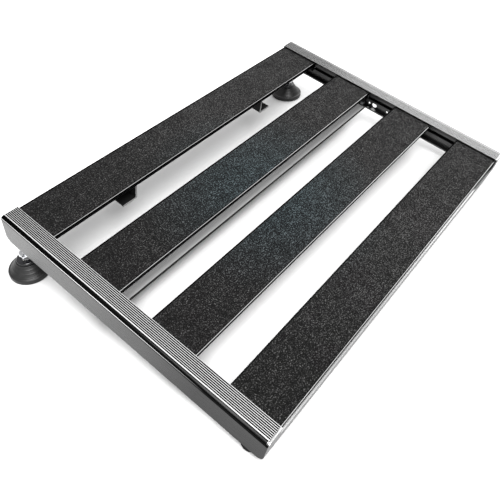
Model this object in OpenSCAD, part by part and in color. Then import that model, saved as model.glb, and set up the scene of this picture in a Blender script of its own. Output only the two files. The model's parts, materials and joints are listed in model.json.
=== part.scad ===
// Pedalboard with two open side rails and four sliding crossbars covered in loop fabric.
// +Z is up, X runs along the crossbars and +Y points to the raised rear edge.
// The origin is on the floor, under the centre of the whole board.
// The rail parts are drawn flat, front edge at y = 0 and rail tops at z = 0, then tilted by on_deck().

/* [Board] */
// Width over the two side rails
board_w = 600; // [480:10:760]
// Length of a side rail, from front to rear
rail_len = 405.5; // [380:0.5:460]
// Angle of the deck, rear edge raised
tilt = 7.4; // [6:0.1:9]

/* [Side rails] */
// Width of the rail's top flange
rail_w = 24; // [23:0.5:28]
// Height of the rail's outer wall
rail_h = 42; // [41:0.5:48]
// Number of grooves along the top flange
groove_count = 8; // [4:1:8]
// Distance from one groove to the next
groove_pitch = 2.2; // [1.8:0.1:2.3]

/* [Crossbars] */
// Width of a crossbar, from front to rear
bar_w = 65.5; // [60:0.5:70]
// Thickness of a crossbar
bar_h = 10; // [9.5:0.5:10.5]
// Thickness of the loop fabric
pad_t = 1.5; // [1:0.1:1.6]
// How far each crossbar stands from even spacing, rear one first
bar_offset = [0, 1.2, -1.1, 0]; // [-3:0.1:3]

/* [Power supply brackets] */
// Height of a bracket's web below the crossbar
bracket_h = 27; // [18:1:28]
// Width of each bracket flange
bracket_flange_w = 25; // [18:1:28]
// Distance from the board's centre to each bracket's web
bracket_x = 137; // [110:1:150]

/* [Feet] */
// Radius of the rear foot's rubber base
foot_r = 27.3; // [24:0.1:30]
// Distance from the rail's underside to the ball of the rear foot
ball_drop = 43; // [38:0.5:46]
// How far the front bumpers stand below the rails
bumper_h = 10; // [6:0.5:12]

/* [Hidden] */
$fn = 64;
bar_count = 4;
wall_t = 3;
flange_t = 3.2;
corner_r = 4.6;
groove_w = 1.1;
groove_d = 0.8;
edge_land = 0.9;
rail_end_r = 9;
lip_t = 2.5;
lip_w = 6.5;
body_gap = 0.35;

// Nut track on the inner side of the rail's wall
track_d = 4.8;
track_h = 13;
track_top = 15;
track_skin = 1.3;
track_lip_t = 1.6;
track_slot_h = 6;
track_mid_z = -track_top - track_h / 2;

// Holes through the right rail's wall for an accessory plate and its cable
hole_z = -34.5;
hole_front_y = 193.5;
hole_rear_y = 228.5;
hole_r = 2.2;
cable_hole_y = 218.5;
cable_hole_r = 4.5;

// Front fascia
fascia_t = 2.5;
fascia_depth = 32;
fascia_screw_x = 272.5;
fascia_screw_y = 26;

// Crossbar section
bar_skin = 1.5;
bar_rim = 1.6;
bar_edge_r = 4.5;
slot_offset = 16;
slot_open = 6.2;
slot_w = 10.6;
slot_h = 3.5;
slot_wall = 1.4;
cell_top = 3;
rim_groove = 0.5;

// Clamps that hold a crossbar in the rails
clamp_t = 3;
clamp_leg = 28;
clamp_drop = 14.2;
clamp_front = 6;
clamp_top_w = 52;
clamp_side_w = 36;
clamp_bolt_y = [13, 33];
nut_fit = 0.3;

// Screws: thread radius, head radius, head height and socket width
m3 = [1.5, 2.8, 1.8, 2];
m4 = [2, 3.6, 2.3, 2.5];
m5 = [2.5, 4.75, 2.8, 3];

// Cross brace
brace_front = 233;
brace_w = 50;
brace_h = 6;
brace_t = 2.2;
brace_screw_y = [239, 276];
brace_nut_af = 7;
brace_nut_h = 4.7;

// Corner blocks
block_top = 29;
block_front = 7;
block_len = 44;
front_screw_y = [35, 46];
block_inner = 268;
rear_block_y = 365;
rear_block_inner = 272;
rear_screw_y = [369.5, 380];

// Rear feet
foot_inset = 10.5;
foot_y = 391;
stud_r = 4;
stud_top = 24;
stud_fit = 0.05;
jam_nut_af = 13;
jam_nut_h = 4.5;
hex_af = 15;
hex_h = 7;
hex_above_ball = 13;
neck_r = 3.2;
ball_r = 6.5;
seat_r = 8.5;
seat_cut = 5.2;
seat_gap = 0.06;
cup_gap = 0.1;
collar_r = 13;
collar_spigot_r = 11.5;
collar_top = 8.5;
collar_flange_h = 4;
collar_hole_r = 6;
pad_top_r = 14.2;
pad_edge_h = 7;

// Front bumpers
bumper_r = 11.8;
bumper_y = 19;
bumper_x_inset = 12;
bumper_dome_r = 55;
bumper_stem_r = 2.2;
bumper_stem_h = 9;

// Power supply brackets
bracket_t = 2.5;
bracket_gap = 0.3;
bracket_depth = 54;
bracket_start = 5;
bracket_bend_r = 3;

// Places that follow from the sizes above
edge_x = board_w / 2;
in_x = edge_x - rail_w;
wall_x = edge_x - wall_t;
lip_x = wall_x - lip_w;
bar_len = 2 * (wall_x - 0.6);
bar_z = -flange_t - body_gap - bar_h;
bar_pitch = (rail_len - bar_w) / (bar_count - 1);
clamp_x = wall_x - track_d - nut_fit;
foot_x = edge_x - foot_inset;
ball_z = rail_h + ball_drop;
dome_z = bumper_dome_r - rail_h - bumper_h;
deck_y = -((foot_y - fascia_t) * cos(tilt) + ball_z * sin(tilt) + foot_r) / 2;
bend_y = rail_end_r - fascia_t;
fascia_top = bar_z - 0.6;
deck_z = bumper_dome_r - bumper_y * sin(tilt) - dome_z * cos(tilt);
ball_world_y = deck_y + foot_y * cos(tilt) + ball_z * sin(tilt);
ball_world_z = deck_z + foot_y * sin(tilt) - ball_z * cos(tilt);
SIDES = ["left", "right"];
BARS = [1 : bar_count];

// Front edge of crossbar k, where crossbar 1 is the rear one
function bar_y(k) = (bar_count - k) * bar_pitch + bar_offset[k - 1];

// Puts flat deck parts at their real height and tilt
module on_deck() { translate([0, deck_y, deck_z]) rotate([tilt, 0, 0]) children(); }

// Parts are drawn for the right side; the left side is their mirror image
module on_side(side) { mirror([side == "left" ? 1 : 0, 0, 0]) children(); }
module both_sides() { for (side = SIDES) on_side(side) children(); }

// Screw pointing up, its head below z = 0
module screw(size, len) {
    difference() {
        translate([0, 0, -size[2]]) cylinder(h = size[2], r = size[1]);
        translate([0, 0, -size[2] - 0.1]) cylinder(h = size[2] * 0.6, d = size[3] / cos(30), $fn = 6);
    }
    cylinder(h = len, r = size[0]);
}

// Nut or tapped plate lying from z = 0 up
module hex_nut(af, h, r) {
    difference() {
        cylinder(h = h, d = af / cos(30), $fn = 6);
        translate([0, 0, -1]) cylinder(h = h + 2, r = r);
    }
}
module plate_nut(l, w, h, r) {
    difference() {
        translate([-l / 2, -w / 2, 0]) cube([l, w, h]);
        translate([0, 0, -1]) cylinder(h = h + 2, r = r);
    }
}

// Side rail section, x across the board and y up
module rail_section() {
    difference() {
        union() {
            translate([in_x, -flange_t]) square([rail_w, flange_t]);
            translate([wall_x, -rail_h]) square([wall_t, rail_h]);
            translate([lip_x, -rail_h]) square([lip_w + 0.1, lip_t]);
            translate([wall_x - track_d, -track_top - track_h]) square([track_d + 0.1, track_h]);
        }
        difference() {
            translate([edge_x - corner_r, -corner_r]) square(corner_r + 1);
            translate([edge_x - corner_r, -corner_r]) circle(corner_r);
        }
        for (i = [0 : groove_count - 1])
            translate([in_x + edge_land + i * groove_pitch, -groove_d]) square([groove_w, groove_d + 1]);
        translate([wall_x - track_d + track_lip_t, -track_top - track_h + track_skin])
            square([track_d - track_lip_t, track_h - 2 * track_skin]);
        translate([wall_x - track_d - 1, track_mid_z - track_slot_h / 2])
            square([track_lip_t + 2, track_slot_h]);
    }
}

// What is cut away to round the bottom corners of the rails, the fascia and the rear blocks
module corner_cut() {
    difference() {
        cube([rail_end_r + 5, rail_end_r + 5, board_w + 2]);
        translate([0, 0, -1]) cylinder(h = board_w + 4, r = rail_end_r);
    }
}
module rear_corner() {
    translate([-edge_x - 1, rail_len - rail_end_r, -rail_h + rail_end_r]) rotate([0, 90, 0]) corner_cut();
}
module front_corner() {
    translate([-edge_x - 1, bend_y, -rail_h + rail_end_r]) rotate([0, 90, 0]) mirror([0, 1, 0]) corner_cut();
}

module side_rail(side) {
    color("#2b2c2e") on_deck() on_side(side) difference() {
        translate([0, rail_len, 0]) rotate([90, 0, 0]) linear_extrude(rail_len) rail_section();
        lip_hole_x = wall_x - lip_w / 2 - 0.3;
        front_corner();
        rear_corner();
        for (y = brace_screw_y) translate([lip_hole_x, y, -rail_h - 1]) cylinder(h = lip_t + 2, r = m4[0] + 0.2);
        for (y = block_screw_y()) translate([lip_hole_x, y, -rail_h - 1]) cylinder(h = lip_t + 2, r = m3[0] + 0.2);
        // The foot's stud rises past the lip and the track
        translate([foot_x, foot_y, -rail_h - 1]) cylinder(h = rail_h + 2 - track_top, r = stud_r + 0.6);
        if (side == "right") {
            for (y = [hole_front_y, hole_rear_y])
                translate([wall_x - 1, y, hole_z]) rotate([0, 90, 0]) cylinder(h = wall_t + 2, r = hole_r);
            translate([wall_x - 1, cable_hole_y, hole_z]) rotate([0, 90, 0])
                cylinder(h = wall_t + 2, r = cable_hole_r);
        }
    }
}

// Places along the rail of the screws that hold the corner blocks
function block_screw_y() = concat(front_screw_y, rear_screw_y);

// Plate across the rails' front ends, folded back under the board between their lips
module front_fascia() {
    flange_x = lip_x - 0.6;
    color("#2b2c2e") on_deck() difference() {
        union() {
            translate([-edge_x, -fascia_t, -rail_h]) cube([board_w, fascia_t, rail_h + fascia_top]);
            both_sides() translate([in_x, -fascia_t, -rail_h]) cube([rail_w, fascia_t, rail_h]);
            difference() {
                translate([-flange_x, -fascia_t, -rail_h]) cube([2 * flange_x, fascia_depth + fascia_t, rail_end_r]);
                translate([-edge_x, bend_y, -rail_h + rail_end_r]) rotate([0, 90, 0])
                    cylinder(h = board_w, r = rail_end_r - fascia_t);
                translate([-edge_x, bend_y, -rail_h + fascia_t]) cube([board_w, fascia_depth, rail_h]);
            }
        }
        front_corner();
        both_sides() {
            translate([edge_x - corner_r, -fascia_t - 1, -corner_r]) rotate([-90, 0, 0]) difference() {
                translate([0, -corner_r - 1, 0]) cube([corner_r + 1, corner_r + 1, fascia_t + 2]);
                translate([0, 0, -1]) cylinder(h = fascia_t + 4, r = corner_r);
            }
            translate([fascia_screw_x, fascia_screw_y, -rail_h - 1]) cylinder(h = fascia_t + 2, r = m4[0] + 0.2);
            translate([edge_x - bumper_x_inset, bumper_y, -rail_h - 1])
                cylinder(h = fascia_t + 2, r = bumper_stem_r + 0.1);
        }
    }
}

module fascia_screws() {
    color("#3a3a3c") on_deck() both_sides()
        translate([fascia_screw_x, fascia_screw_y, -rail_h]) screw(m4, 11);
}

module front_block(side) {
    color("#1d1d1f") on_deck() on_side(side) difference() {
        translate([block_inner, block_front, -rail_h + lip_t])
            cube([wall_x - 0.1 - block_inner, block_len, rail_h - lip_t - block_top]);
        translate([fascia_screw_x, fascia_screw_y, -rail_h]) cylinder(h = 11.2, r = m4[0] + 0.02);
        translate([edge_x - bumper_x_inset, bumper_y, -rail_h]) cylinder(h = bumper_stem_h + 1, r = bumper_stem_r + 0.1);
        for (y = front_screw_y)
            translate([wall_x - lip_w / 2 - 0.3, y, -rail_h]) cylinder(h = 10.2, r = m3[0] + 0.02);
    }
}

module rear_block(side) {
    color("#1d1d1f") on_deck() on_side(side) difference() {
        union() {
            translate([rear_block_inner, rear_block_y, -rail_h + lip_t])
                cube([wall_x - 0.1 - rear_block_inner, rail_len - rear_block_y - 0.5, rail_h - lip_t - block_top]);
            translate([rear_block_inner, rear_block_y, -rail_h])
                cube([lip_x - 0.2 - rear_block_inner, rail_len - rear_block_y - 0.5, lip_t + 0.1]);
        }
        rear_corner();
        translate([foot_x, foot_y, -rail_h - 1]) cylinder(h = rail_h, r = stud_r + stud_fit);
        for (y = rear_screw_y)
            translate([wall_x - lip_w / 2 - 0.3, y, -rail_h]) cylinder(h = 10.2, r = m3[0] + 0.02);
    }
}

module block_screws() {
    color("#3a3a3c") on_deck() both_sides() for (y = block_screw_y())
        translate([wall_x - lip_w / 2 - 0.3, y, -rail_h]) screw(m3, 10);
}

module cross_brace() {
    color("#2b2c2e") on_deck() difference() {
        translate([-wall_x + 0.3, brace_front, -rail_h - brace_h]) cube([2 * wall_x - 0.6, brace_w, brace_h]);
        translate([-wall_x - 1, brace_front + brace_t, -rail_h - brace_h - 1])
            cube([2 * wall_x + 2, brace_w - 2 * brace_t, brace_h + 1 - brace_t]);
        both_sides() for (y = brace_screw_y)
            translate([wall_x - lip_w / 2 - 0.3, y, -rail_h - brace_h]) cylinder(h = brace_h + 1, r = m4[0] + 0.2);
    }
}

module brace_screws() {
    color("#3a3a3c") on_deck() both_sides() for (y = brace_screw_y)
        translate([wall_x - lip_w / 2 - 0.3, y, -rail_h - brace_t]) screw(m4, 11);
}

module brace_nuts() {
    color("#8b8c8e") on_deck() both_sides() for (y = brace_screw_y)
        translate([wall_x - lip_w / 2 - 0.3, y, -rail_h + lip_t]) rotate(30)
            hex_nut(brace_nut_af, brace_nut_h, m4[0] + 0.02);
}

// Domed rubber bumper with a stem that pushes into the front block
module bumper(side) {
    color("#161616") on_deck() on_side(side) translate([edge_x - bumper_x_inset, bumper_y, -rail_h]) {
        intersection() {
            translate([0, 0, -bumper_h - 1]) cylinder(h = bumper_h + 1, r = bumper_r);
            translate([0, 0, -bumper_h + bumper_dome_r]) sphere(bumper_dome_r, $fn = 96);
        }
        cylinder(h = bumper_stem_h, r = bumper_stem_r);
    }
}

// Crossbar section, x from front to rear and y up from the underside
module bar_section() {
    slot_solid = slot_w / 2 + slot_wall;
    mid = bar_w / 2;
    cell_h = bar_h - bar_skin - cell_top;
    difference() {
        square([bar_w, bar_h]);
        translate([bar_rim, bar_h - pad_t - 0.1]) square([bar_w - 2 * bar_rim, pad_t + 1]);
        for (x = [mid - slot_offset, mid + slot_offset]) {
            translate([x - slot_open / 2, -1]) square([slot_open, bar_skin + 1.1]);
            translate([x - slot_w / 2, bar_skin]) square([slot_w, slot_h]);
        }
        for (m = [0, 1]) translate([mid, 0]) mirror([m, 0]) {
            translate([0.7, bar_skin]) square([slot_offset - slot_solid - 0.7, cell_h]);
            difference() {
                translate([slot_offset + slot_solid, bar_skin])
                    square([mid - slot_offset - slot_solid - bar_rim, cell_h]);
                bar_edge(bar_edge_r - bar_rim);
            }
            bar_edge(bar_edge_r);
            translate([mid - rim_groove, bar_h - pad_t - 2]) square([rim_groove + 1, 1.2]);
        }
    }
}

// What lies outside a rounded bottom edge of the crossbar's section, x from its middle
module bar_edge(r) {
    translate([bar_w / 2 - bar_edge_r, bar_edge_r]) difference() {
        translate([0, -bar_edge_r - 1]) square(bar_edge_r + 1);
        circle(r);
    }
}

module crossbar(k) {
    color("#232426") on_deck() translate([-bar_len / 2, bar_y(k), bar_z])
        rotate([90, 0, 90]) linear_extrude(bar_len) bar_section();
}

module loop_pad(k) {
    color("#3c3e40") on_deck()
        translate([-bar_len / 2 + 4, bar_y(k) + bar_rim + 0.1, bar_z + bar_h - pad_t - 0.1])
            cube([bar_len - 8, bar_w - 2 * bar_rim - 0.2, pad_t]);
}

// Angle under each end of a crossbar, bolted to the rail's nut track
module end_clamps(k) {
    color("#1d1d1f") on_deck() both_sides() translate([0, bar_y(k) + clamp_front, bar_z]) difference() {
        union() {
            translate([clamp_x - clamp_leg, 0, -clamp_t]) cube([clamp_leg, clamp_top_w, clamp_t]);
            translate([clamp_x - clamp_t, 0, -clamp_drop]) cube([clamp_t, clamp_side_w, clamp_drop]);
        }
        for (y = slot_places()) translate([clamp_x - clamp_leg / 2 - 4, y - clamp_front, -clamp_t - 1])
            cylinder(h = clamp_t + 2, r = m5[0] + 0.2);
        for (y = clamp_bolt_y) translate([clamp_x - clamp_t - 1, y - clamp_front, track_mid_z - bar_z])
            rotate([0, 90, 0]) cylinder(h = clamp_t + 2, r = m5[0] + 0.2);
    }
}

// Distances of the two underside slots from a crossbar's front edge
function slot_places() = [bar_w / 2 - slot_offset, bar_w / 2 + slot_offset];

module clamp_screws(k) {
    color("#3a3a3c") on_deck() both_sides() translate([0, bar_y(k), bar_z]) {
        for (y = slot_places()) translate([clamp_x - clamp_leg / 2 - 4, y, -clamp_t])
            screw(m5, clamp_t + bar_skin + slot_h - 0.4);
        for (y = clamp_bolt_y) translate([clamp_x - clamp_t, y, track_mid_z - bar_z])
            rotate([0, 90, 0]) screw(m5, clamp_t + nut_fit + track_d - 0.4);
    }
}

module clamp_nuts(k) {
    track_nut_t = track_d - track_lip_t - 2 * nut_fit;
    track_nut_h = track_h - 2 * track_skin - 2 * nut_fit;
    color("#8b8c8e") on_deck() both_sides() translate([0, bar_y(k), bar_z]) {
        for (y = slot_places()) translate([clamp_x - clamp_leg / 2 - 4, y, bar_skin])
            plate_nut(12, slot_w - 0.6, slot_h - 0.6, m5[0] + 0.02);
        for (y = clamp_bolt_y) translate([wall_x - nut_fit - track_nut_t, y, track_mid_z - bar_z])
            rotate([0, 90, 0]) plate_nut(track_nut_h, 16, track_nut_t, m5[0] + 0.02);
    }
}

// Folded bracket under the rear crossbar: top flange inwards, bottom flange outwards
module power_bracket(side) {
    color("#202123") on_deck() on_side(side)
        translate([bracket_x, bar_y(1) + bracket_start, bar_z - bracket_gap]) difference() {
            translate([0, bracket_depth, 0]) rotate([90, 0, 0]) linear_extrude(bracket_depth) bracket_section();
            for (y = slot_places()) translate([-bracket_flange_w / 2, y - bracket_start, -bracket_t - 1])
                cylinder(h = bracket_t + 2, r = m5[0] + 0.2);
        }
}

// Z section, x = 0 at the web's inner face and y = 0 at the top
module bracket_section() {
    inner_r = bracket_bend_r - bracket_t;
    translate([-bracket_flange_w, -bracket_t]) square([bracket_flange_w + 0.01, bracket_t]);
    difference() {
        translate([0, -bracket_h]) square([bracket_flange_w, bracket_h]);
        translate([bracket_t, -bracket_h + bracket_t + inner_r]) square([bracket_flange_w, bracket_h]);
        translate([bracket_t + inner_r, -bracket_h + bracket_t]) square([bracket_flange_w, bracket_h]);
        difference() {
            translate([-1, -bracket_h - 1]) square(bracket_bend_r + 1);
            translate([bracket_bend_r, -bracket_h + bracket_bend_r]) circle(bracket_bend_r);
        }
    }
}

module bracket_screws(side) {
    color("#3a3a3c") on_deck() on_side(side)
        for (y = slot_places()) translate([bracket_x - bracket_flange_w / 2, bar_y(1) + y, bar_z - bracket_gap - bracket_t])
            screw(m5, bracket_t + bracket_gap + bar_skin + slot_h - 0.5);
}

module bracket_nuts(side) {
    color("#8b8c8e") on_deck() on_side(side)
        for (y = slot_places()) translate([bracket_x - bracket_flange_w / 2, bar_y(1) + y, bar_z + bar_skin + 0.3])
            plate_nut(14, slot_w - 0.7, slot_h - 0.7, m5[0] + 0.02);
}

// Origin at the ball of a rear foot, upright like the deck's normal
module at_ball(side) { on_deck() on_side(side) translate([foot_x, foot_y, -ball_z]) children(); }

// The same point with the foot standing flat on the floor
module on_floor(side) { on_side(side) translate([foot_x, ball_world_y, 0]) children(); }

module foot_jam_nut(side) {
    color("#c9cacc") on_deck() on_side(side) translate([foot_x, foot_y, -rail_h - jam_nut_h])
        hex_nut(jam_nut_af, jam_nut_h, stud_r + stud_fit);
}

module foot_stud(side) {
    color("#c9cacc") at_ball(side) {
        sphere(ball_r, $fn = 96);
        cylinder(h = hex_above_ball + 1, r = neck_r);
        translate([0, 0, hex_above_ball]) intersection() {
            cylinder(h = hex_h, d = hex_af / cos(30), $fn = 6);
            cylinder(h = hex_h, d = hex_af * 1.09);
        }
        translate([0, 0, hex_above_ball + hex_h - 1]) cylinder(h = ball_z - stud_top - hex_above_ball - hex_h + 1, r = stud_r);
    }
}

// Nylon seat that the ball turns in
module foot_seat(side) {
    color("#d8d6cf") at_ball(side) difference() {
        intersection() {
            sphere(seat_r, $fn = 96);
            translate([0, 0, -seat_cut]) cylinder(h = 2 * seat_cut, r = seat_r + 1);
        }
        sphere(ball_r + seat_gap, $fn = 96);
    }
}

// Ring that keeps the seat in the rubber
module foot_collar(side) {
    top_z = ball_world_z + collar_top;
    color("#141414") on_floor(side) difference() {
        union() {
            translate([0, 0, ball_world_z]) cylinder(h = collar_top, r = collar_spigot_r);
            translate([0, 0, top_z - collar_flange_h]) cylinder(h = collar_flange_h - 1, r = collar_r);
            translate([0, 0, top_z - 1]) cylinder(h = 1, r1 = collar_r, r2 = collar_r - 1);
        }
        translate([0, 0, ball_world_z]) sphere(seat_r + cup_gap, $fn = 96);
        translate([0, 0, ball_world_z]) cylinder(h = collar_top + 1, r = collar_hole_r);
    }
}

// Rubber foot, a wide cone with a thick edge
module foot_pad(side) {
    shoulder_z = ball_world_z + collar_top - collar_flange_h;
    color("#1a1a1a") on_floor(side) difference() {
        rotate_extrude() polygon([[0, 0], [foot_r - 0.8, 0], [foot_r, 0.8], [foot_r - 0.3, pad_edge_h - 1],
            [foot_r - 1.5, pad_edge_h + 0.5], [pad_top_r + 0.6, shoulder_z - 0.8], [pad_top_r - 0.6, shoulder_z],
            [0, shoulder_z]]);
        translate([0, 0, ball_world_z]) cylinder(h = shoulder_z, r = collar_spigot_r + 0.1);
        translate([0, 0, ball_world_z]) sphere(seat_r + cup_gap, $fn = 96);
    }
}

front_fascia();
cross_brace();
brace_screws();
brace_nuts();
fascia_screws();
block_screws();
for (s = SIDES) {
    side_rail(s);
    front_block(s);
    rear_block(s);
    bumper(s);
    foot_jam_nut(s);
    foot_seat(s);
    foot_stud(s);
    foot_collar(s);
    foot_pad(s);
    power_bracket(s);
    bracket_screws(s);
    bracket_nuts(s);
}
for (k = BARS) {
    crossbar(k);
    loop_pad(k);
    end_clamps(k);
    clamp_screws(k);
    clamp_nuts(k);
}
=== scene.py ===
"""Looks of the pedalboard: materials, looped fabric, threaded feet, camera and studio light."""

import json
import math
import random

import bpy
from mathutils import Matrix, Vector, noise


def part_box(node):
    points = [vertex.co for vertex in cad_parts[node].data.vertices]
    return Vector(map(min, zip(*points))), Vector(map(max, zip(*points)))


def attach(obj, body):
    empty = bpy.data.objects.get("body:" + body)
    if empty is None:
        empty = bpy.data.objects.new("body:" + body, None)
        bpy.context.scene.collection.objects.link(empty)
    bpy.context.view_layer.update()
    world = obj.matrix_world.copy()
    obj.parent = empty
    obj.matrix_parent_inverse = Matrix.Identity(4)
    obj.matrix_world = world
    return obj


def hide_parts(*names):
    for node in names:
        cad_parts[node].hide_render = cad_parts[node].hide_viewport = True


MM = 0.001
SIDES = ("left", "right")
BARS = (1, 2, 3, 4)

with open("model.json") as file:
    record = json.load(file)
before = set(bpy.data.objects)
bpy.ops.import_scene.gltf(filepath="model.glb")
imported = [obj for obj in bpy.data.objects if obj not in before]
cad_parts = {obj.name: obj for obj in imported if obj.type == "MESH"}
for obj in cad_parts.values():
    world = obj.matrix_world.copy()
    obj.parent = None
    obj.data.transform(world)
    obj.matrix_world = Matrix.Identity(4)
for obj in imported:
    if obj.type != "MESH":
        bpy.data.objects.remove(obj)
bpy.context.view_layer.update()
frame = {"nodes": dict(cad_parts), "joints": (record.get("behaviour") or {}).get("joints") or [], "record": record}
nodes = frame["nodes"]


# ---- deck frame ----

def deck_matrix():
    """The tilted deck's own axes: X along the bars, Y along the rails, Z off the deck.

    Its origin is in the middle of the board, at the rails' front ends and top faces.
    """
    height_axis = next(Vector(j["axis"]) for j in frame["joints"] if j["name"] == "foot_left_height")
    up = -height_axis.normalized()
    along = up.cross(Vector((1, 0, 0)))
    points = [v.co for v in nodes["side_rail_left"].data.vertices]
    origin = along * min(p.dot(along) for p in points) + up * max(p.dot(up) for p in points)
    return Matrix((
        (1, along.x, up.x, origin.x),
        (0, along.y, up.y, origin.y),
        (0, along.z, up.z, origin.z),
        (0, 0, 0, 1),
    ))


DECK = deck_matrix()
DECK_ANGLE = math.atan2(DECK[2][1], DECK[1][1])


def deck_box(node):
    """Lowest and highest corner of a CAD node in the deck's own axes."""
    back = DECK.inverted()
    points = [back @ v.co for v in nodes[node].data.vertices]
    low = Vector(min(p[i] for p in points) for i in range(3))
    high = Vector(max(p[i] for p in points) for i in range(3))
    return low, high


# ---- node helpers ----

def new_material(name):
    material = bpy.data.materials.new(name)
    material.use_nodes = True
    tree = material.node_tree
    return material, tree, tree.nodes["Principled BSDF"]


def add(tree, kind, **settings):
    node = tree.nodes.new(kind)
    for key, value in settings.items():
        if key in node.inputs:
            node.inputs[key].default_value = value
        else:
            setattr(node, key, value)
    return node


def deck_coordinates(tree):
    """Places on the flat deck in metres, so that patterns and masks follow it."""
    coords = add(tree, "ShaderNodeTexCoord")
    turn = add(tree, "ShaderNodeMapping", vector_type="TEXTURE")
    turn.inputs["Location"].default_value = DECK.translation
    turn.inputs["Rotation"].default_value = (DECK_ANGLE, 0, 0)
    tree.links.new(coords.outputs["Object"], turn.inputs["Vector"])
    return turn.outputs["Vector"]


def math_node(tree, operation, first, second=0.0):
    node = add(tree, "ShaderNodeMath", operation=operation)
    for socket, value in zip(node.inputs, (first, second)):
        if isinstance(value, (int, float)):
            socket.default_value = value
        else:
            tree.links.new(value, socket)
    return node.outputs["Value"]


def times(tree, first, second):
    return math_node(tree, "MULTIPLY", first, second)


def noise_texture(tree, vector, scale, detail=3.0, stretch=(1, 1, 1)):
    grown = add(tree, "ShaderNodeMapping")
    grown.inputs["Scale"].default_value = stretch
    tree.links.new(vector, grown.inputs["Vector"])
    texture = add(tree, "ShaderNodeTexNoise", Scale=scale, Detail=detail)
    tree.links.new(grown.outputs["Vector"], texture.inputs["Vector"])
    return texture.outputs["Fac"]


def ramp(tree, value, stops):
    """A colour ramp: stops are (place, grey or colour)."""
    node = add(tree, "ShaderNodeValToRGB")
    elements = node.color_ramp.elements
    while len(elements) < len(stops):
        elements.new(0.5)
    for element, (place, colour) in zip(elements, stops):
        element.position = place
        rgb = (colour,) * 3 if isinstance(colour, (int, float)) else colour
        element.color = (*rgb, 1)
    tree.links.new(value, node.inputs["Fac"])
    return node.outputs["Color"]


def mix_colour(tree, share, first, second, blend="MIX"):
    node = add(tree, "ShaderNodeMix", data_type="RGBA", blend_type=blend)
    for socket, value in ((node.inputs[0], share), (node.inputs[6], first), (node.inputs[7], second)):
        if isinstance(value, (int, float)):
            socket.default_value = value
        elif isinstance(value, tuple):
            socket.default_value = (*value, 1)
        else:
            tree.links.new(value, socket)
    return node.outputs[2]


def above(tree, value, start, end):
    """0 at start and 1 at end, and even in between. end may be the lower of the two."""
    node = add(tree, "ShaderNodeMapRange")
    node.inputs["From Min"].default_value = start
    node.inputs["From Max"].default_value = end
    tree.links.new(value, node.inputs["Value"])
    return node.outputs["Result"]


def within(tree, value, low, high, soft=0.06 * MM):
    """1 between low and high and 0 outside."""
    up = above(tree, value, low - soft, low + soft)
    down = above(tree, value, high + soft, high - soft)
    return times(tree, up, down)


def add_bump(tree, shader, height, distance, strength):
    bump = add(tree, "ShaderNodeBump", Strength=strength, Distance=distance)
    tree.links.new(height, bump.inputs["Height"])
    tree.links.new(bump.outputs["Normal"], shader.inputs["Normal"])


# ---- materials ----

def extrusion(name, dark, roughness, masks, along="X", line_spread=0.1, metallic=1.0):
    """Extruded or coated metal with drawn lines.

    dark is its colour where no mask is. masks are (level, mask) pairs for faces that get a painted highlight or
    reflection, where mask(tree, x, y, z) takes places on the deck. The levels are set to match one picture's
    brightness, and are not measured finishes. line_spread varies the level from one drawn line to the next.
    """
    material, tree, shader = new_material(name)
    vector = deck_coordinates(tree)
    stretch = (0.012, 1, 1) if along == "X" else (1, 0.012, 1)
    lines = noise_texture(tree, vector, 1500, 2.0, stretch)
    clouds = noise_texture(tree, vector, 14, 4.0)
    place = add(tree, "ShaderNodeSeparateXYZ")
    tree.links.new(vector, place.inputs["Vector"])
    x, y, z = place.outputs["X"], place.outputs["Y"], place.outputs["Z"]
    colour = ramp(tree, clouds, [(0.35, 0.8 * dark), (0.65, 1.2 * dark)])
    # Each mask lays its level over the dark metal as a painted highlight or reflection, varied by the drawn lines.
    for level, mask in masks:
        painted_light_lines = ramp(tree, lines, [(0.3, (1 - line_spread) * level), (0.7, (1 + line_spread) * level)])
        colour = mix_colour(tree, mask(tree, x, y, z), colour, painted_light_lines)
    tree.links.new(colour, shader.inputs["Base Color"])
    low, high = roughness
    tree.links.new(ramp(tree, lines, [(0.3, low), (0.7, high)]), shader.inputs["Roughness"])
    shader.inputs["Metallic"].default_value = metallic
    shader.inputs["Specular Tint"].default_value = (0.4, 0.4, 0.4, 1)
    shader.inputs["Specular IOR Level"].default_value = 0.15
    return material


EDGE_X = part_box("front_fascia")[1][0]
GROOVES_END = 23.1 * MM
GROOVE_PITCH = 2.2 * MM
# CREST, CREST_SOFT, LAST_CREST, RIGHT_BETWEEN and RIGHT_FAINTER place and weigh the painted highlight on the rail
# tops.
CREST = (0.63, 0.88)
CREST_SOFT = 0.04
LAST_CREST = (5.1 * MM, 6.4 * MM)
RIGHT_BETWEEN = 0.42
RIGHT_FAINTER = 0.35


def inset(tree, x):
    """Distance in from the outer face of the nearer side rail."""
    return math_node(tree, "SUBTRACT", EDGE_X, math_node(tree, "ABSOLUTE", x))


def painted_highlight_lands(tree, x, y, z):
    """Painted highlight on the crests of the ribs between the grooves, and on the wider last one at the outer
    corner.

    The right rail's painted crests are fainter, and its top gets painted light between them.
    """
    depth = inset(tree, x)
    count = math_node(tree, "DIVIDE", math_node(tree, "SUBTRACT", GROOVES_END, depth), GROOVE_PITCH)
    crest = within(tree, math_node(tree, "FRACT", count), *CREST, CREST_SOFT)
    crest = math_node(tree, "MAXIMUM", crest, within(tree, depth, *LAST_CREST))
    right = above(tree, x, 0.0, 1 * MM)
    crest = math_node(tree, "MAXIMUM", crest, times(tree, right, RIGHT_BETWEEN))
    crest = times(tree, crest, math_node(tree, "SUBTRACT", 1.0, times(tree, right, RIGHT_FAINTER)))
    crest = times(tree, crest, above(tree, depth, 4.6 * MM, 4.8 * MM))
    return times(tree, crest, above(tree, z, -0.12 * MM, -0.04 * MM))


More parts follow.
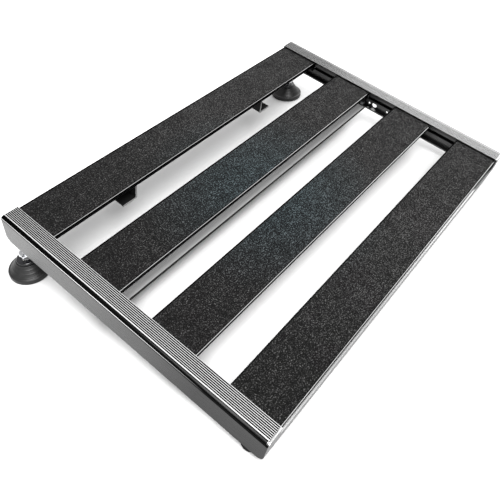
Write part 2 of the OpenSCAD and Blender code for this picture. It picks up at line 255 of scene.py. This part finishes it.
def painted_highlight_corner(tree, x, y, z):
    """A painted highlight: a bright line low on the rounded outer corner, which fades towards the front."""
    outer = times(tree, above(tree, inset(tree, x), 1.4 * MM, 1.1 * MM), above(tree, y, 80 * MM, 220 * MM))
    return times(tree, outer, within(tree, z, -3.2 * MM, -2.3 * MM))


def painted_reflection_wall(tree, x, y, z):
    """The rails' outer walls, below the rounded corner, which get a painted reflection."""
    return times(tree, above(tree, inset(tree, x), 0.3 * MM, 0.1 * MM), above(tree, z, -4.4 * MM, -4.8 * MM))


def painted_reflection_rear(tree, x, y, z):
    """The same walls, with more painted reflection towards the rear."""
    return times(tree, painted_reflection_wall(tree, x, y, z), above(tree, y, 90 * MM, 420 * MM))


def painted_reflection_inner_wall(tree, x, y, z):
    """Painted reflection on the right rail's wall under its top flange."""
    inside = times(tree, above(tree, x, 200 * MM, 210 * MM), above(tree, inset(tree, x), 1.5 * MM, 2 * MM))
    return times(tree, inside, above(tree, z, -1.5 * MM, -2 * MM))


def painted_reflection_fascia(tree, x, y, z):
    """Painted reflection on the plate's front, down to where its lower edge turns under."""
    front = times(tree, above(tree, y, 0.6 * MM, 0.0), above(tree, z, -31.4 * MM, -30.6 * MM))
    return times(tree, front, above(tree, inset(tree, x), 1.2 * MM, 1.6 * MM))


BRACE_LOW, BRACE_HIGH = deck_box("cross_brace")
BRACKET_FRONT = deck_box("power_bracket_left")[0].y


# Painted light: the brace's top face is made light grey while its sides stay black.
def painted_light_brace_top(tree, x, y, z):
    return above(tree, z, BRACE_HIGH.z - 0.4 * MM, BRACE_HIGH.z - 0.1 * MM)


def painted_light_brace_back(tree, x, y, z):
    """The top's rear part, made lighter only to offset the shadow of the bar above it at rest."""
    rear = above(tree, y, BRACE_LOW.y + 6 * MM, BRACE_LOW.y + 26 * MM)
    return times(tree, painted_light_brace_top(tree, x, y, z), rear)


# Painted highlight on the bracket's front edges.
def painted_highlight_bracket_edge(tree, x, y, z):
    return above(tree, y, BRACKET_FRONT + 0.6 * MM, BRACKET_FRONT + 0.3 * MM)


def bar_material(k):
    """Crossbar k: black, with a painted highlight on its front rim and a fainter painted highlight line below it.
    """
    low, high = deck_box(f"crossbar_{k}")

    def painted_highlight_rim(tree, x, y, z):
        near = above(tree, y, low.y + 0.8 * MM, low.y + 0.5 * MM)
        return times(tree, near, above(tree, z, high.z - 0.6 * MM, high.z - 0.3 * MM))

    def painted_highlight_lower_line(tree, x, y, z):
        near = above(tree, y, low.y + 1.1 * MM, low.y + 0.8 * MM)
        return times(tree, near, within(tree, z, high.z - 4.2 * MM, high.z - 3.7 * MM))

    return extrusion(f"bar_anodised_{k}", 0.005, (0.25, 0.4), [(0.3, painted_highlight_rim), (0.08, painted_highlight_lower_line)])


# Painted shade: the fabric is made darker towards its left end.
PAINTED_SHADE_RANGE = (20 * MM, -260 * MM)
PAINTED_SHADE_DARKER = -0.06
CAST_CENTRE = (-30 * MM, 210 * MM, 0)
CAST_EDGE = (50 * MM, 170 * MM)
CAST = (1.0, 1.3, 1.4)
NO_CAST = (1.0, 0.99, 0.98)


def loop_fabric():
    """Dark grey loop pile: lighter loop tops and darker gaps.

    It has painted shade that makes it darker towards the left end, and a lighter teal cast in the middle. Both
    follow one picture, and may come from its light and not from the fabric.
    """
    material, tree, shader = new_material("loop_fabric")
    vector = deck_coordinates(tree)
    loops = add(tree, "ShaderNodeTexVoronoi", Scale=760.0)
    tree.links.new(vector, loops.inputs["Vector"])
    place = add(tree, "ShaderNodeSeparateXYZ")
    tree.links.new(vector, place.inputs["Vector"])
    painted_shade = times(tree, above(tree, place.outputs["X"], *PAINTED_SHADE_RANGE), PAINTED_SHADE_DARKER)
    tufts_and_painted_shade = math_node(tree, "ADD", noise_texture(tree, vector, 740, 2.0), painted_shade)
    clouds = noise_texture(tree, vector, 60, 4.0)
    colour = ramp(tree, tufts_and_painted_shade, [(0.4, 0.002), (0.49, 0.0055), (0.57, 0.0155), (0.68, 0.055)])
    patches = ramp(tree, clouds, [(0.35, 0.8), (0.65, 1.2)])
    away = add(tree, "ShaderNodeVectorMath", operation="DISTANCE")
    tree.links.new(vector, away.inputs[0])
    away.inputs[1].default_value = CAST_CENTRE
    tint = ramp(tree, above(tree, away.outputs["Value"], *CAST_EDGE), [(0.0, CAST), (1.0, NO_CAST)])
    colour = mix_colour(tree, 1.0, colour, patches, "MULTIPLY")
    tree.links.new(mix_colour(tree, 1.0, colour, tint, "MULTIPLY"), shader.inputs["Base Color"])
    shader.inputs["Roughness"].default_value = 0.95
    shader.inputs["Specular IOR Level"].default_value = 0.06
    shader.inputs["Sheen Weight"].default_value = 0.025
    shader.inputs["Sheen Roughness"].default_value = 0.5
    add_bump(tree, shader, loops.outputs["Distance"], 0.6 * MM, 0.6)
    return material


def rubber(name, roughness, specular):
    """Black rubber with a fine skin."""
    material, tree, shader = new_material(name)
    coords = add(tree, "ShaderNodeTexCoord").outputs["Object"]
    grain = noise_texture(tree, coords, 1500, 3.0)
    smears = noise_texture(tree, coords, 60, 3.0)
    tree.links.new(ramp(tree, smears, [(0.35, 0.008), (0.7, 0.016)]), shader.inputs["Base Color"])
    tree.links.new(ramp(tree, grain, [(0.3, roughness), (0.7, 1.35 * roughness)]), shader.inputs["Roughness"])
    shader.inputs["Specular IOR Level"].default_value = specular
    add_bump(tree, shader, grain, 0.05 * MM, 0.4)
    return material


def metal(name, colour, roughness, grain_scale=900):
    """Plated or brushed metal with faint unevenness."""
    material, tree, shader = new_material(name)
    coords = add(tree, "ShaderNodeTexCoord").outputs["Object"]
    grain = noise_texture(tree, coords, grain_scale, 3.0)
    tree.links.new(ramp(tree, grain, [(0.3, 0.8 * roughness), (0.7, 1.25 * roughness)]), shader.inputs["Roughness"])
    shades = [(0.3, tuple(0.92 * c for c in colour)), (0.7, colour)]
    tree.links.new(ramp(tree, noise_texture(tree, coords, 120, 2.0), shades), shader.inputs["Base Color"])
    shader.inputs["Metallic"].default_value = 1.0
    add_bump(tree, shader, grain, 0.02 * MM, 0.3)
    return material


def plastic(name, colour, roughness):
    """Moulded plastic with a fine grain."""
    material, tree, shader = new_material(name)
    coords = add(tree, "ShaderNodeTexCoord").outputs["Object"]
    grain = noise_texture(tree, coords, 1100, 2.0)
    darker = tuple(0.85 * c for c in colour)
    tree.links.new(ramp(tree, noise_texture(tree, coords, 40, 3.0), [(0.3, darker), (0.7, colour)]),
                   shader.inputs["Base Color"])
    tree.links.new(ramp(tree, grain, [(0.3, 0.9 * roughness), (0.7, 1.1 * roughness)]), shader.inputs["Roughness"])
    add_bump(tree, shader, grain, 0.03 * MM, 0.4)
    return material


MATERIALS = {
    # The rail's masks paint highlights on its crests and corner, and reflections on its outer, rear, inner and
    # fascia faces.
    "rail_black": extrusion("rail_anodised", 0.008, (0.24, 0.32), along="Y", line_spread=0.03, masks=[
        (0.46, painted_highlight_lands), (0.9, painted_highlight_corner), (0.115, painted_reflection_wall), (0.43, painted_reflection_rear), (0.34, painted_reflection_fascia),
        (0.08, painted_reflection_inner_wall)]),
    "bar_black": bar_material(1),
    # The brace's levels are painted light on its top face, strongest on the rear part under the bar.
    "brace_satin": extrusion("brace_brushed_painted_light", 0.006, (0.5, 0.7), line_spread=0.05, metallic=0.0, masks=[
        (0.25, painted_light_brace_top), (0.95, painted_light_brace_back)]),
    "block_black": extrusion("block_anodised", 0.01, (0.4, 0.55), masks=[]),
    "bracket_black": extrusion("bracket_powder_coat", 0.008, (0.4, 0.5), metallic=0.0, masks=[
        (0.2, painted_highlight_bracket_edge)]),
    "screw_black": metal("blackened_steel", (0.05, 0.05, 0.052), 0.35),
    "zinc_steel": metal("zinc_plate", (0.55, 0.56, 0.58), 0.3),
    "foot_chrome": metal("bright_plate", (0.86, 0.87, 0.89), 0.08, 300),
    "seat_nylon": plastic("natural_nylon", (0.6, 0.58, 0.53), 0.4),
    "collar_plastic": plastic("collar_black", (0.006, 0.006, 0.007), 0.3),
    "rubber_black": rubber("foot_rubber", 0.36, 0.3),
    "loop_grey": loop_fabric(),
}


def paint(piece, slot):
    piece.data.materials.clear()
    piece.data.materials.append(MATERIALS[slot])


def soften(piece, width):
    """Breaks a CAD node's sharp edges by width, so that they catch the light."""
    weld = piece.modifiers.new("weld", "WELD")
    weld.merge_threshold = 0.005 * MM
    bevel = piece.modifiers.new("edges", "BEVEL")
    bevel.width = width
    bevel.segments = 2
    bevel.limit_method = "ANGLE"
    bevel.angle_limit = math.radians(35)
    bevel.use_clamp_overlap = True
    bevel.harden_normals = True


EDGE_WIDTHS = {
    "rail_black": 0.15 * MM,
    "bar_black": 0.2 * MM,
    "brace_satin": 0.3 * MM,
    "block_black": 0.4 * MM,
    "bracket_black": 0.4 * MM,
    "screw_black": 0.2 * MM,
    "zinc_steel": 0.25 * MM,
    "foot_chrome": 0.4 * MM,
    "collar_plastic": 0.4 * MM,
}

for part in frame["record"]["subparts"]:
    node, slot = nodes[part["node"]], part["material_slot"]
    paint(node, slot)
    if slot in EDGE_WIDTHS:
        soften(node, EDGE_WIDTHS[slot])
for k in BARS[1:]:
    nodes[f"crossbar_{k}"].data.materials[0] = bar_material(k)


# ---- new pieces ----

def new_piece(name, points, faces, body, slot):
    """A mesh piece in the row frame that rides on a body."""
    mesh = bpy.data.meshes.new(name)
    mesh.from_pydata(points, [], faces)
    mesh.validate()
    mesh.shade_smooth()
    piece = bpy.data.objects.new(name, mesh)
    bpy.context.scene.collection.objects.link(piece)
    paint(piece, slot)
    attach(piece, body)
    return piece


def ring_faces(rows, around):
    """Faces of a stack of rings of points, with a cap on each end."""
    faces = []
    for row in range(rows - 1):
        for i in range(around):
            a, b = row * around + i, row * around + (i + 1) % around
            faces.append((a, b, b + around, a + around))
    faces.append(tuple(reversed(range(around))))
    faces.append(tuple((rows - 1) * around + i for i in range(around)))
    return faces


def lathe(rings, around, matrix, shape=None):
    """Points and faces of a turned body.

    rings are (radius, height), and shape(radius, height, angle) may change a radius.
    """
    points = []
    for radius, height in rings:
        for i in range(around):
            angle = math.tau * i / around
            r = radius if shape is None else shape(radius, height, angle)
            points.append(matrix @ Vector((r * math.cos(angle), r * math.sin(angle), height)))
    return points, ring_faces(len(rings), around)


def arc(centre, radius, start, end, steps):
    """Points (r, z) on an arc, angles in degrees from the r axis."""
    return [
        (centre[0] + radius * math.cos(math.radians(start + (end - start) * i / steps)),
         centre[1] + radius * math.sin(math.radians(start + (end - start) * i / steps)))
        for i in range(steps + 1)
    ]


# ---- loop fabric ----

LOOP_STEP = 0.85 * MM
LOOP_PITCH = 1.5 * MM
PILE_HEIGHT = 0.45 * MM
FIBRE_COUNT = 2600
FIBRE_STEPS = 4


def pile(x, y, seed):
    """Height of the looped pile at a place on the sheet, from 0 to about 1."""
    place = Vector((x / LOOP_PITCH, y / LOOP_PITCH, seed))
    near = noise.voronoi(place)[0][0]
    return 0.65 * (1 - min(1.0, near)) + 0.35 * (0.5 + 0.5 * noise.noise(place * 0.6))


def loop_cover(k):
    """The sheet of loop fabric on crossbar k: a closed mesh with a bumpy pile on top."""
    low, high = deck_box(f"loop_pad_{k}")
    columns = round((high.x - low.x) / LOOP_STEP)
    rows = round((high.y - low.y) / LOOP_STEP)
    base, top = low.z + 0.05 * MM, high.z
    points, faces = [], []
    for j in range(rows + 1):
        y = low.y + (high.y - low.y) * j / rows
        for i in range(columns + 1):
            x = low.x + (high.x - low.x) * i / columns
            inside = min(i, j, columns - i, rows - j) * LOOP_STEP
            edge = min(1.0, inside / (1.6 * MM))
            fall = 0.7 * MM * (1 - math.sqrt(1 - (1 - edge) ** 2))
            z = top - fall + PILE_HEIGHT * (pile(x, y, 10.0 * k) - 0.5)
            points.append(DECK @ Vector((x, y, z)))
    across = columns + 1
    for j in range(rows):
        for i in range(columns):
            a = j * across + i
            faces.append((a, a + 1, a + 1 + across, a + across))
    rim = (list(range(columns + 1))
           + [j * across + columns for j in range(1, rows + 1)]
           + [rows * across + i for i in range(columns - 1, -1, -1)]
           + [j * across for j in range(rows - 1, 0, -1)])
    under = len(points)
    for corner in rim:
        flat = DECK.inverted() @ points[corner]
        points.append(DECK @ Vector((flat.x, flat.y, base)))
    for n, corner in enumerate(rim):
        m = (n + 1) % len(rim)
        faces.append((rim[m], corner, under + n, under + m))
    faces.append(tuple(under + n for n in reversed(range(len(rim)))))
    cover = new_piece(f"loop_cover_{k}", points, faces, f"bar_{k}", "loop_grey")
    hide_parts(f"loop_pad_{k}")
    return cover, low, high


def loop_fibres(k, low, high):
    """Loose loops that stand out of the pile: small arched ribbons."""
    rng = random.Random(100 + k)
    points, faces = [], []
    for _ in range(FIBRE_COUNT):
        x = rng.uniform(low.x + 1.5 * MM, high.x - 1.5 * MM)
        y = rng.uniform(low.y + 1.2 * MM, high.y - 1.2 * MM)
        turn = rng.uniform(0, math.tau)
        span = rng.uniform(0.5, 1.1) * MM
        rise = rng.uniform(0.25, 0.6) * MM
        width = rng.uniform(0.1, 0.18) * MM
        root = high.z - 0.15 * MM
        along = Vector((math.cos(turn), math.sin(turn), 0))
        side = Vector((-along.y, along.x, 0)) * width
        start = len(points)
        for step in range(FIBRE_STEPS + 1):
            share = step / FIBRE_STEPS
            middle = Vector((x, y, root + rise * math.sin(math.pi * share))) + along * span * (share - 0.5)
            points.append(DECK @ (middle - side))
            points.append(DECK @ (middle + side))
        for step in range(FIBRE_STEPS):
            a = start + 2 * step
            faces.append((a, a + 1, a + 3, a + 2))
    return new_piece(f"loop_fibres_{k}", points, faces, f"bar_{k}", "loop_grey")


for k in BARS:
    cover, low, high = loop_cover(k)
    fibres = loop_fibres(k, low, high)


# ---- feet ----

def foot_pad(side):
    """Moulded rubber base: a thick edge, a cone with three ridges and a socket for the collar."""
    low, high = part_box(f"foot_pad_{side}")
    centre = (Vector(low) + Vector(high)) / 2
    radius = (high[0] - low[0]) / 2
    height = high[2]
    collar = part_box(f"foot_collar_{side}")
    collar_z = collar[0][2]
    socket = 11.6 * MM
    edge_h, shoulder_r = 7 * MM, 14.2 * MM
    rings = [(0.1 * MM, 0.9 * MM), (6 * MM, 0.9 * MM), (6.6 * MM, 0.2 * MM), (radius - 2.5 * MM, 0.0)]
    rings += arc((radius - 1.2 * MM, 1.2 * MM), 1.2 * MM, -80, 0, 4)
    rings += arc((radius - 1.5 * MM, edge_h - 1.2 * MM), 1.4 * MM, 0, 75, 4)
    cone_start = Vector((radius - 2.4 * MM, edge_h + 0.1 * MM))
    cone_end = Vector((shoulder_r + 0.5 * MM, height - 0.9 * MM))
    steps, ridges, ridge_height = 42, 3, 0.1 * MM
    for i in range(1, steps):
        share = i / steps
        spot = cone_start.lerp(cone_end, share)
        wave = ridge_height * max(0.0, math.sin(math.tau * ridges * share)) ** 2
        rings.append((spot.x + wave, spot.y + 0.7 * wave))
    rings += arc((shoulder_r - 0.3 * MM, height - 0.9 * MM), 0.9 * MM, 0, 90, 4)
    rings += [(socket + 0.3 * MM, height), (socket, height - 0.3 * MM), (socket, collar_z - 0.1 * MM),
              (8.7 * MM, collar_z - 0.1 * MM), (8.3 * MM, collar_z - 4 * MM), (0.1 * MM, collar_z - 8.8 * MM)]
    points, faces = lathe(rings, 96, Matrix.Translation((centre.x, centre.y, 0)))
    piece = new_piece(f"foot_rubber_{side}", points, faces, f"foot_base_{side}", "rubber_black")
    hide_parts(f"foot_pad_{side}")


THREAD_PITCH = 1.25 * MM
THREAD_DEPTH = 0.6 * MM


def foot_stud(side):
    """Ball, neck, chamfered hexagon and a real helical thread, on the deck's normal through the ball."""
    low, high = deck_box(f"foot_stud_{side}")
    ball_r, hex_af, stud_r, neck_r = 6.5 * MM, 15 * MM, 4 * MM, 3.2 * MM
    centre = Vector(((low.x + high.x) / 2, (low.y + high.y) / 2, low.z + ball_r))
    hex_low, hex_high = centre.z + 13 * MM, centre.z + 20 * MM
    hex_r = hex_af / 2
    chamfer_r = hex_r * 1.02
    rings = [(p[0], centre.z + p[1]) for p in arc((0, 0), ball_r, -88, 58, 16)]
    rings += [(neck_r + 0.3 * MM, centre.z + 6.2 * MM), (neck_r, centre.z + 7 * MM),
              (neck_r, hex_low - 0.6 * MM), (neck_r + 0.6 * MM, hex_low)]
    rings += [(chamfer_r - 0.9 * MM, hex_low), (chamfer_r, hex_low + 0.25 * MM),
              (hex_r * 1.08, hex_low + 0.7 * MM), (hex_r * 1.2, hex_low + 1.3 * MM),
              (hex_r * 1.2, hex_high - 1.3 * MM), (hex_r * 1.08, hex_high - 0.7 * MM),
              (chamfer_r, hex_high - 0.25 * MM), (chamfer_r - 0.9 * MM, hex_high)]
    rings += [(stud_r + 0.3 * MM, hex_high), (stud_r - 0.4 * MM, hex_high + 0.3 * MM)]
    step = THREAD_PITCH / 6
    thread_low, thread_high = hex_high + 1.2 * MM, high.z - 0.8 * MM
    count = int((thread_high - thread_low) / step)
    rings += [(stud_r, thread_low + step * i) for i in range(count + 1)]
    rings += [(stud_r - 0.7 * MM, high.z), (0.05 * MM, high.z)]

    def shape(radius, height, angle):
        if hex_low <= height <= hex_high and radius > stud_r + 0.5 * MM:
            side_angle = (angle + math.pi / 6) % (math.pi / 3) - math.pi / 6
            return min(radius, hex_r / math.cos(side_angle))
        if thread_low <= height <= thread_high and radius == stud_r:
            phase = (height / THREAD_PITCH - angle / math.tau) % 1
            return stud_r - THREAD_DEPTH * abs(2 * phase - 1)
        return radius

    matrix = DECK @ Matrix.Translation((centre.x, centre.y, 0))
    points, faces = lathe(rings, 72, matrix, shape)
    piece = new_piece(f"foot_screw_{side}", points, faces, f"foot_spin_{side}", "foot_chrome")
    piece.data.set_sharp_from_angle(angle=math.radians(28))
    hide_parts(f"foot_stud_{side}")


BUMPER_RUBBER = rubber("bumper_rubber", 0.7, 0.05)


def bumper(side):
    """Front rubber bumper: a domed disc with a rounded edge and a stem."""
    low, high = deck_box(f"bumper_{side}")
    radius = (high.x - low.x) / 2
    centre_x, centre_y = (low.x + high.x) / 2, (low.y + high.y) / 2
    seat_z = high.z - 9 * MM
    dome_r, stem_r, edge = 55 * MM, 2.2 * MM, 1.6 * MM
    sag = dome_r - math.sqrt(dome_r ** 2 - radius ** 2)
    rings = [(0.1 * MM, low.z)]
    rings += [(r, low.z + dome_r - math.sqrt(dome_r ** 2 - r ** 2)) for r in
              (radius * i / 8 for i in range(1, 7))]
    rings += arc((radius - edge, low.z + sag + edge), edge, -80, 0, 5)
    rings += [(radius, seat_z - 1.5 * MM), (radius - 0.4 * MM, seat_z - 0.9 * MM),
              (radius - 0.4 * MM, seat_z - 0.4 * MM), (radius - 0.7 * MM, seat_z),
              (stem_r + 0.2 * MM, seat_z), (stem_r, seat_z + 0.3 * MM),
              (stem_r, high.z - 0.6 * MM), (stem_r - 0.5 * MM, high.z), (0.05 * MM, high.z)]
    points, faces = lathe(rings, 64, DECK @ Matrix.Translation((centre_x, centre_y, 0)))
    piece = new_piece(f"front_bumper_{side}", points, faces, "frame", "rubber_black")
    piece.data.materials[0] = BUMPER_RUBBER
    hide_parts(f"bumper_{side}")


for side in SIDES:
    foot_pad(side)
    foot_stud(side)
    bumper(side)


# ---- stage, light and camera ----

FLOOR_HALF = 6.0
FLOOR_GREY = 0.5
LIGHT_DISTANCE = 2.2


def make_floor():
    mesh = bpy.data.meshes.new("floor")
    half = FLOOR_HALF
    mesh.from_pydata([(-half, -half, 0), (half, -half, 0), (half, half, 0), (-half, half, 0)], [], [(0, 1, 2, 3)])
    floor = bpy.data.objects.new("floor", mesh)
    bpy.context.scene.collection.objects.link(floor)
    floor.location.z = -0.3 * MM
    material, tree, shader = new_material("floor_white")
    shader.inputs["Base Color"].default_value = (FLOOR_GREY, FLOOR_GREY, FLOOR_GREY, 1)
    shader.inputs["Roughness"].default_value = 0.9
    shader.inputs["Specular IOR Level"].default_value = 0.0
    mesh.materials.append(material)


def area_light(name, direction, size, luminance):
    """A soft box that shines on the board with the given luminance."""
    data = bpy.data.lights.new(name, "AREA")
    data.shape = "RECTANGLE"
    data.size, data.size_y = size
    data.energy = luminance * math.pi * size[0] * size[1]
    light = bpy.data.objects.new(name, data)
    bpy.context.scene.collection.objects.link(light)
    direction = Vector(direction).normalized()
    light.location = direction * LIGHT_DISTANCE
    light.rotation_mode = "QUATERNION"
    light.rotation_quaternion = direction.to_track_quat("Z", "Y")


def make_world(strength):
    world = bpy.data.worlds.new("studio")
    world.use_nodes = True
    background = world.node_tree.nodes["Background"]
    background.inputs["Color"].default_value = (1, 1, 1, 1)
    background.inputs["Strength"].default_value = strength
    bpy.context.scene.world = world


def make_camera():
    data = bpy.data.cameras.new("camera")
    data.lens = 40.03
    data.shift_x, data.shift_y = 0.0137, -0.0323
    data.clip_start = 0.01
    camera = bpy.data.objects.new("camera", data)
    bpy.context.scene.collection.objects.link(camera)
    yaw, pitch, roll = (math.radians(a) for a in (51.98, 45.12, 1.41))
    camera.matrix_world = (
        Matrix.Translation((-0.4973, -0.3323, 0.5625))
        @ Matrix.Rotation(-yaw, 4, "Z")
        @ Matrix.Rotation(math.pi / 2 - pitch, 4, "X")
        @ Matrix.Rotation(roll, 4, "Z")
    )
    bpy.context.scene.camera = camera


make_floor()
make_world(0.5)
area_light("overhead", (0.56, 0.24, 0.79), (2.6, 2.6), 2.0)
area_light("side", (0.86, -0.02, 0.5), (1.3, 1.3), 3.0)
area_light("key", (-0.28, -0.34, 0.89), (1.5, 1.5), 20.0)
make_camera()
bpy.context.scene.view_settings.view_transform = "Standard"
